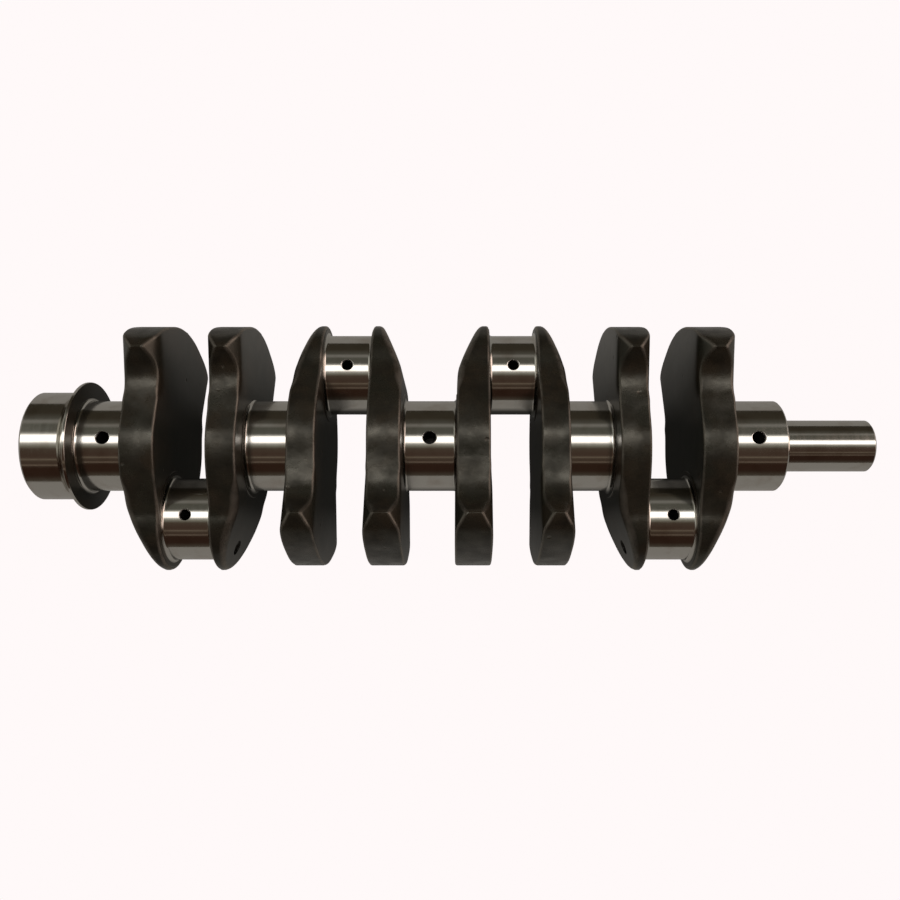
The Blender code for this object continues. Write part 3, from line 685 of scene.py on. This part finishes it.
def add_nose_end(looks):
    """The first main journal and the nose, with the bolt hole, the key seats and the oil hole."""
    lead = NOSE_BOLT_RADIUS + NOSE_CHAMFER
    profile = rounded([
        *boss_profile(END_MAIN_START, 1, MAIN_RADIUS, MAIN_BOSS_RADIUS),
        (NOSE_SHOULDER - NOSE_CHAMFER, MAIN_RADIUS, SMALL_ROUNDING),
        (NOSE_SHOULDER, MAIN_RADIUS - NOSE_CHAMFER, SMALL_ROUNDING),
        (NOSE_SHOULDER, NOSE_RADIUS, NOSE_ROOT_ROUNDING),
        (NOSE_END - NOSE_CHAMFER, NOSE_RADIUS, SMALL_ROUNDING),
        (NOSE_END, NOSE_RADIUS - NOSE_CHAMFER, SMALL_ROUNDING),
        (NOSE_END, lead, 0.0),
        *thread(NOSE_END - NOSE_CHAMFER, NOSE_BOLT_RADIUS - THREAD_DEPTH),
        (NOSE_END - NOSE_BOLT_DEPTH, NOSE_BOLT_RADIUS - THREAD_DEPTH, 0.0),
        (NOSE_END - NOSE_BOLT_DEPTH - NOSE_BOLT_RADIUS / 2, 0.0, 0.0),
    ])
    made = lathe("nose_end", profile)
    outward(made)
    made.data.materials.append(looks["ground"])
    oil_hole(made, NOSE_MAIN_MIDDLE, MAIN_RADIUS, MAIN_OIL_RADIUS, looks)
    for node in ("sprocket_key", "pulley_key"):
        cut(made, key_seat(node, looks["bore"]))
    darken(made, looks["forged"], MAIN_RADIUS + JOURNAL_FILLET, 0.0, NOSE_MAIN_MIDDLE)
    place(made, looks["ground"])
    true_round(made, [MAIN_RADIUS, NOSE_RADIUS])


def key_seat(node, wall):
    """A cutter for the half-moon seat under one of the keys, a little larger than the key."""
    low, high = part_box(node)
    half_length = (high.x - low.x) / 2
    depth = high.z - low.z
    radius = (half_length**2 + depth**2) / (2 * depth)
    middle = (low.x + high.x) / 2 - MIDDLE_X
    centre_z = high.z - radius
    width = (high.y - low.y) / 2 + GAP
    profile = [(-width, 0.0), (-width, radius + GAP), (width, radius + GAP), (width, 0.0)]
    tool = lathe("key_seat", profile, KEY_SEAT_STEPS)
    tool.data.transform(Matrix.Translation((middle, 0.0, centre_z)) @ Matrix.Rotation(math.pi / 2, 4, "Z"))
    tool.data.materials.append(wall)
    outward(tool)
    return tool


# ---------------------------------------------------------------- materials


# The forging: its oiled scale, brown patches on it, darker mottling, and pale bare metal along its edges and
# in its dents; along the edges the pale colour is partly wear and partly a painted edge highlight.
SCALE = (0.017, 0.017, 0.013, 1.0)
BROWN_SCALE = (0.025, 0.020, 0.014, 1.0)
MOTTLING = (0.009, 0.008, 0.006, 1.0)
WORN_METAL_AND_HIGHLIGHT = (0.30, 0.265, 0.23, 1.0)
FORGED_SHEEN = (1.0, 0.96, 0.83, 1.0)

# Ground steel, clean and stained, and the oily wall of a drilled hole.
CLEAN_STEEL = (0.60, 0.58, 0.54, 1.0)
STAINED_STEEL = (0.50, 0.46, 0.41, 1.0)
BORE_OIL = (0.012, 0.011, 0.010, 1.0)
BORE_STEEL = (0.035, 0.032, 0.028, 1.0)

# Seal rubber, in the low and the high parts of its grain.
RUBBER_LOW = (0.012, 0.012, 0.012, 1.0)
RUBBER_HIGH = (0.03, 0.03, 0.03, 1.0)


class Nodes:
    """A short way to build a node tree."""

    def __init__(self, owner):
        owner.use_nodes = True
        self.tree = owner.node_tree

    def add(self, kind, settings=None, **inputs):
        """Add a node; inputs are values or the sockets that feed them."""
        made = self.tree.nodes.new(kind)
        for key, value in (settings or {}).items():
            setattr(made, key, value)
        for key, value in inputs.items():
            self.feed(made.inputs[key.replace("_", " ")], value)
        return made

    def feed(self, socket, value):
        """Link a socket, or set a plain value."""
        if isinstance(value, bpy.types.NodeSocket):
            self.tree.links.new(value, socket)
        else:
            socket.default_value = value

    def surface(self, **inputs):
        """Feed a material's Principled shader."""
        for key, value in inputs.items():
            self.feed(self.tree.nodes["Principled BSDF"].inputs[key.replace("_", " ")], value)

    def places(self):
        """The piece's own coordinates, shifted from piece to piece so that no two have the same marks."""
        own = self.add("ShaderNodeTexCoord").outputs["Object"]
        shifted = self.add("ShaderNodeVectorMath", {"operation": "ADD"})
        self.feed(shifted.inputs[0], own)
        self.feed(shifted.inputs[1], self.add("ShaderNodeObjectInfo").outputs["Random"])
        return shifted.outputs[0]

    def noise(self, scale, detail=2.0, stretch=(1.0, 1.0, 1.0)):
        """Noise on the piece, stretched where the surface is drawn out."""
        mapping = self.add("ShaderNodeMapping", Vector=self.places(), Scale=stretch)
        made = self.add("ShaderNodeTexNoise", Vector=mapping.outputs[0], Scale=scale, Detail=detail)
        return made.outputs["Fac"]

    def span(self, value, low, high, start=0.0, end=1.0):
        """Map a value from low..high to start..end."""
        ends = {"From_Min": low, "From_Max": high, "To_Min": start, "To_Max": end}
        return self.add("ShaderNodeMapRange", Value=value, **ends).outputs[0]

    def mix(self, share, first, second):
        """Mix two colours."""
        made = self.add("ShaderNodeMix", {"data_type": "RGBA"})
        self.feed(made.inputs[0], share)
        self.feed(made.inputs[6], first)
        self.feed(made.inputs[7], second)
        return made.outputs[2]

    def math(self, operation, first, second=0.0):
        """A sum on two values."""
        made = self.add("ShaderNodeMath", {"operation": operation})
        self.feed(made.inputs[0], first)
        self.feed(made.inputs[1], second)
        return made.outputs[0]

    def dot(self, vector, direction):
        """How far a vector points in a direction."""
        made = self.add("ShaderNodeVectorMath", {"operation": "DOT_PRODUCT"})
        self.feed(made.inputs[0], vector)
        self.feed(made.inputs[1], direction)
        return made.outputs["Value"]

    def bump(self, height, strength, distance, under=None, invert=False):
        """Surface relief from a height, on top of the relief under it."""
        settings = {"invert": invert}
        made = self.add("ShaderNodeBump", settings, Height=height, Strength=strength, Distance=distance)
        if under is not None:
            self.feed(made.inputs["Normal"], under)
        return made.outputs[0]

    def unless_seen(self, lighting, seen, output):
        """Feed an output with one shader for what the camera sees, and another for every other ray."""
        chooser = self.add("ShaderNodeMixShader")
        self.feed(chooser.inputs[0], self.add("ShaderNodeLightPath").outputs["Is Camera Ray"])
        self.feed(chooser.inputs[1], lighting.outputs[0])
        self.feed(chooser.inputs[2], seen.outputs[0])
        self.feed(self.tree.nodes[output].inputs["Surface"], chooser.outputs[0])


def rim_share(nodes):
    """One on a web's rim, and little on its flat faces, which the forging dies left smoother."""
    facing = nodes.add("ShaderNodeTexCoord").outputs["Normal"]
    across = nodes.add("ShaderNodeSeparateXYZ", Vector=facing).outputs["X"]
    return nodes.span(nodes.math("ABSOLUTE", across), 0.35, 0.8, 1.0, 0.15)


def dent_marks(nodes):
    """A few small round dents."""
    cells = nodes.add("ShaderNodeTexVoronoi", Vector=nodes.places(), Scale=58.0)
    return nodes.span(cells.outputs["Distance"], 0.03, 0.085, 1.0, 0.0)


def bare_metal_and_highlight(nodes, blotches, dents):
    """How much pale metal shows: most along the edges, partly worn metal and partly a painted edge highlight,
    which the blotches break up, and some worn metal in the dents.
    """
    wear_and_highlight = nodes.add("ShaderNodeAttribute", {"attribute_name": "wear_and_highlight"}).outputs["Fac"]
    broken = nodes.math("MULTIPLY", wear_and_highlight, nodes.span(blotches, 0.36, 0.6, 0.3, 1.0))
    return nodes.math("MAXIMUM", broken, nodes.math("MULTIPLY", dents, 0.35))


def forged_colour(nodes, on_rim, blotches, bright):
    """Olive-black scale with brown patches and dark mottling, and paler where metal shows, which on the edges
    is partly a painted edge highlight.
    """
    patches = nodes.span(nodes.noise(45.0, 4.0), 0.4, 0.62)
    patchy = nodes.mix(patches, SCALE, BROWN_SCALE)
    dark = nodes.math("MULTIPLY", on_rim, nodes.span(blotches, 0.42, 0.66, 0.0, 0.8))
    mottled = nodes.mix(dark, patchy, MOTTLING)
    # The pale metal colour on the edges is partly wear and partly a painted edge highlight.
    return nodes.mix(nodes.math("MULTIPLY", bright, 0.35), mottled, WORN_METAL_AND_HIGHLIGHT)


def forged_relief(nodes, on_rim, blotches, dents):
    """Fine grain and broad lumps, strongest on the rims, and the dents."""
    grain = nodes.noise(900.0, 3.0)
    grainy = nodes.bump(grain, nodes.math("MULTIPLY", on_rim, 0.14), 0.1 * MM)
    lumpy = nodes.bump(blotches, nodes.math("MULTIPLY", on_rim, 0.3), 0.7 * MM, grainy)
    return nodes.bump(dents, 0.6, 0.5 * MM, lumpy, invert=True)


def forged_look():
    """Dark oiled forging with patches, a few dents and paler edges, partly worn metal and partly a painted
    edge highlight.
    """
    look = bpy.data.materials.new("forged_steel_look")
    nodes = Nodes(look)
    blotches = nodes.noise(120.0, 5.0)
    on_rim = rim_share(nodes)
    dents = dent_marks(nodes)
    bright = bare_metal_and_highlight(nodes, blotches, dents)
    dullness = nodes.math("MULTIPLY", on_rim, nodes.span(blotches, 0.35, 0.65, -0.07, 0.07))
    sheen = nodes.math("MULTIPLY", on_rim, nodes.span(nodes.noise(70.0, 6.0), 0.36, 0.64, -0.2, 0.2))
    nodes.surface(
        Base_Color=forged_colour(nodes, on_rim, blotches, bright),
        Roughness=nodes.math("ADD", dullness, 0.29),
        Specular_IOR_Level=nodes.math("ADD", sheen, 0.48),
        Metallic=nodes.math("MULTIPLY", bright, 0.4),
        Specular_Tint=FORGED_SHEEN,
        Normal=forged_relief(nodes, on_rim, blotches, dents),
    )
    return look


def ground_look():
    """Bright ground steel: fine lines round the journal, faint stains, and an even film of oil."""
    look = bpy.data.materials.new("ground_steel_look")
    nodes = Nodes(look)
    lines = nodes.noise(1.0, 2.0, (6000.0, 60.0, 60.0))
    broad = nodes.noise(1.0, 2.0, (500.0, 20.0, 20.0))
    stains = nodes.noise(90.0, 4.0)
    colour = nodes.mix(nodes.span(stains, 0.5, 0.75), CLEAN_STEEL, STAINED_STEEL)
    relief = nodes.bump(lines, 0.06, 0.02 * MM)
    tangent = nodes.add("ShaderNodeTangent", {"direction_type": "RADIAL", "axis": "X"})
    nodes.surface(
        Base_Color=colour,
        Metallic=1.0,
        Roughness=nodes.span(broad, 0.3, 0.7, 0.1, 0.15),
        Anisotropic=0.8,
        Anisotropic_Rotation=0.25,
        Tangent=tangent.outputs[0],
        Normal=relief,
    )
    return look


def bore_look():
    """The oily inside of a drilled hole."""
    look = bpy.data.materials.new("drilled_steel_look")
    nodes = Nodes(look)
    rings = nodes.noise(900.0, 2.0)
    nodes.surface(
        Base_Color=nodes.mix(rings, BORE_OIL, BORE_STEEL),
        Metallic=0.6,
        Roughness=0.45,
        Normal=nodes.bump(rings, 0.3, 0.1 * MM),
    )
    return look


def steel_look(name, colour, shade, roughness, line_scale):
    """Machined steel for a small fitted part: a colour that varies a little, and fine machining marks."""
    look = bpy.data.materials.new(name)
    nodes = Nodes(look)
    patches = nodes.noise(400.0, 3.0)
    lines = nodes.noise(1.0, 2.0, (line_scale, line_scale / 12, line_scale / 12))
    nodes.surface(
        Base_Color=nodes.mix(patches, (*colour, 1.0), (*shade, 1.0)),
        Metallic=1.0,
        Roughness=nodes.span(patches, 0.3, 0.7, roughness * 0.8, roughness * 1.2),
        Normal=nodes.bump(lines, 0.15, 0.03 * MM),
    )
    return look


def rubber_look():
    """Black seal rubber with a faint moulded grain."""
    look = bpy.data.materials.new("seal_rubber_look")
    nodes = Nodes(look)
    grain = nodes.noise(1800.0, 2.0)
    nodes.surface(
        Base_Color=nodes.mix(grain, RUBBER_LOW, RUBBER_HIGH),
        Roughness=0.62,
        Normal=nodes.bump(grain, 0.3, 0.05 * MM),
    )
    return look


def dress_fitted_parts():
    """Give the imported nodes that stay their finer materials."""
    plug = steel_look("plug_steel_look", (0.10, 0.095, 0.085), (0.05, 0.047, 0.042), 0.45, 2500.0)
    key = steel_look("key_steel_look", (0.46, 0.45, 0.43), (0.36, 0.35, 0.33), 0.32, 3000.0)
    dowel = steel_look("dowel_steel_look", (0.58, 0.57, 0.55), (0.48, 0.47, 0.45), 0.22, 4000.0)
    bearing = steel_look("bearing_steel_look", (0.66, 0.66, 0.66), (0.58, 0.58, 0.58), 0.18, 5000.0)
    ball = steel_look("ball_steel_look", (0.75, 0.75, 0.75), (0.7, 0.7, 0.7), 0.08, 2000.0)
    brass = steel_look("cage_brass_look", (0.66, 0.48, 0.2), (0.56, 0.4, 0.17), 0.3, 2500.0)
    looks = {
        "gallery_plug": plug,
        "sprocket_key": key,
        "pulley_key": key,
        "flywheel_dowel": dowel,
        "pilot_outer_ring": bearing,
        "pilot_inner_ring": bearing,
        "pilot_ball_cage": brass,
        "pilot_ball": ball,
        "pilot_seal": rubber_look(),
    }
    for node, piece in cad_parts.items():
        for start, look in looks.items():
            if node.startswith(start):
                piece.material_slots[0].material = look
                break


# ---------------------------------------------------------------- stage


BACKDROP = (1.0, 0.947, 0.947, 1.0)
FLOOR_COLOUR = (0.27, 0.255, 0.235, 1.0)
SHADOW_COLOUR = (0.03, 0.029, 0.026, 1.0)
SHADOW_CORE = 29 * MM
SHADOW_EDGE = 100 * MM

# The studio round the shaft as (angle, colour) stops. Angles go round the shaft's axis in degrees, from the
# camera towards the camera's up. The shaft reflects a bright strip light just above the camera, and darker
# stretches on either side of it.
STUDIO = [
    (-180, (0.20, 0.19, 0.17)),
    (-95, (0.28, 0.26, 0.23)),
    (-80, (0.07, 0.057, 0.043)),
    (-66, (0.034, 0.018, 0.012)),
    (-48, (0.034, 0.017, 0.011)),
    (-43, (0.045, 0.028, 0.019)),
    (-41, (0.22, 0.17, 0.13)),
    (-39, (0.06, 0.039, 0.028)),
    (-31, (0.075, 0.052, 0.037)),
    (-28.5, (0.2, 0.16, 0.12)),
    (-26, (0.075, 0.05, 0.036)),
    (-20, (0.068, 0.043, 0.031)),
    (-6, (0.08, 0.058, 0.042)),
    (0, (0.22, 0.21, 0.17)),
    (6, (0.5, 0.48, 0.44)),
    (11, (2.6, 2.5, 2.4)),
    (21, (3.2, 3.1, 3.0)),
    (26, (0.45, 0.44, 0.4)),
    (31, (0.11, 0.108, 0.092)),
    (46, (0.10, 0.098, 0.08)),
    (52, (0.22, 0.21, 0.19)),
    (55, (0.22, 0.21, 0.19)),
    (60, (0.09, 0.085, 0.07)),
    (75, (0.045, 0.037, 0.026)),
    (100, (0.04, 0.034, 0.024)),
    (114, (0.25, 0.235, 0.215)),
    (180, (0.27, 0.255, 0.235)),
]

# Two dim lights beyond the ends of the shaft, as (direction, colour): a warm one past the nose, and a duller
# one past the flange. Each fades out as the dot product with its direction falls.
SIDE_LIGHTS = [
    ((0.89, 0.18, 0.44), (2.1, 1.68, 1.5)),
    ((-0.89, 0.18, 0.44), (0.62, 0.62, 0.56)),
]
SIDE_LIGHT_EDGE = 0.82
SIDE_LIGHT_CORE = 0.97


def studio_bands(nodes, direction):
    """The studio's bands of light for a direction, which depend on its angle round the shaft."""
    angle = nodes.math("ARCTAN2", nodes.dot(direction, CAMERA_UP), nodes.dot(direction, TOWARDS_CAMERA))
    turn = nodes.math("ADD", nodes.math("DIVIDE", angle, math.tau), 0.5)
    bands = nodes.add("ShaderNodeValToRGB", Fac=turn)
    elements = bands.color_ramp.elements
    elements.remove(elements[1])
    for index, (degrees, colour) in enumerate(STUDIO):
        position = degrees / 360 + 0.5
        element = elements[0] if index == 0 else elements.new(position)
        element.position = position
        element.color = (*colour, 1.0)
    return bands.outputs[0]


def studio_world():
    """Soft bands of light that lie along the shaft; the camera itself sees a plain pale backdrop."""
    world = bpy.data.worlds.new("studio")
    bpy.context.scene.world = world
    nodes = Nodes(world)
    direction = nodes.add("ShaderNodeTexCoord").outputs["Generated"]
    light = studio_bands(nodes, direction)
    for side, colour in SIDE_LIGHTS:
        ends = {"From_Min": SIDE_LIGHT_EDGE, "From_Max": SIDE_LIGHT_CORE}
        facing = nodes.dot(direction, side)
        spread = nodes.add("ShaderNodeMapRange", {"interpolation_type": "SMOOTHSTEP"}, Value=facing, **ends)
        light = nodes.mix(spread.outputs[0], light, (*colour, 1.0))
    lighting = nodes.tree.nodes["Background"]
    nodes.feed(lighting.inputs["Color"], light)
    nodes.unless_seen(lighting, nodes.add("ShaderNodeBackground", Color=BACKDROP), "World Output")


def floor_look():
    """Plain and pale to the camera. In reflections it is grey, and dark in the shaft's own shadow."""
    look = bpy.data.materials.new("floor_look")
    nodes = Nodes(look)
    position = nodes.add("ShaderNodeNewGeometry").outputs["Position"]
    parts = nodes.add("ShaderNodeSeparateXYZ", Vector=position)
    along = nodes.math("ABSOLUTE", nodes.math("SUBTRACT", parts.outputs["X"], MIDDLE_X))
    across = nodes.math("ABSOLUTE", parts.outputs["Y"])
    past_end = nodes.span(along, END_MAIN_START, NOSE_SHOULDER)
    past_side = nodes.span(across, SHADOW_CORE, SHADOW_EDGE)
    open_floor = nodes.math("MAXIMUM", past_end, past_side)
    lighting = nodes.add("ShaderNodeEmission", Color=nodes.mix(open_floor, SHADOW_COLOUR, FLOOR_COLOUR))
    nodes.unless_seen(lighting, nodes.add("ShaderNodeEmission", Color=BACKDROP), "Material Output")
    return look


def add_floor():
    """The floor under the shaft."""
    mesh = bpy.data.meshes.new("floor")
    corners = [(x * FLOOR_REACH, y * FLOOR_REACH, FLOOR_Z) for x, y in ((-1, -1), (1, -1), (1, 1), (-1, 1))]
    mesh.from_pydata(corners, [], [(0, 1, 2, 3)])
    floor = bpy.data.objects.new("floor", mesh)
    bpy.context.scene.collection.objects.link(floor)
    mesh.materials.append(floor_look())


def add_camera():
    """The camera above the shaft, at the viewing angle that the shaft is shown from."""
    lens = bpy.data.cameras.new("camera")
    lens.lens = CAMERA_LENS
    lens.clip_start = 0.01
    camera = bpy.data.objects.new("camera", lens)
    bpy.context.scene.collection.objects.link(camera)
    lens.shift_x, lens.shift_y = CAMERA_SHIFT
    camera.location = Vector((CAMERA_X, 0.0, 0.0)) + TOWARDS_CAMERA * CAMERA_DISTANCE
    camera.rotation_euler = (CAMERA_TILT, 0.0, 0.0)
    bpy.context.scene.camera = camera


def build():
    """Every piece, the stage and the camera."""
    # The oil holes' mouths: burnished steel, painted near white, paler than any steel, as a highlight.
    burnished_highlight = steel_look("burnished_highlight_steel_look", (0.92, 0.91, 0.89), (0.84, 0.83, 0.8), 0.5, 2000.0)
    looks = {"forged": forged_look(), "ground": ground_look(), "bore": bore_look(), "burnished_highlight": burnished_highlight}
    add_webs(looks)
    add_journals(looks)
    add_flywheel_end(looks)
    add_nose_end(looks)
    dress_fitted_parts()
    studio_world()
    add_floor()
    add_camera()
    bpy.context.scene.view_settings.view_transform = "Standard"


build()
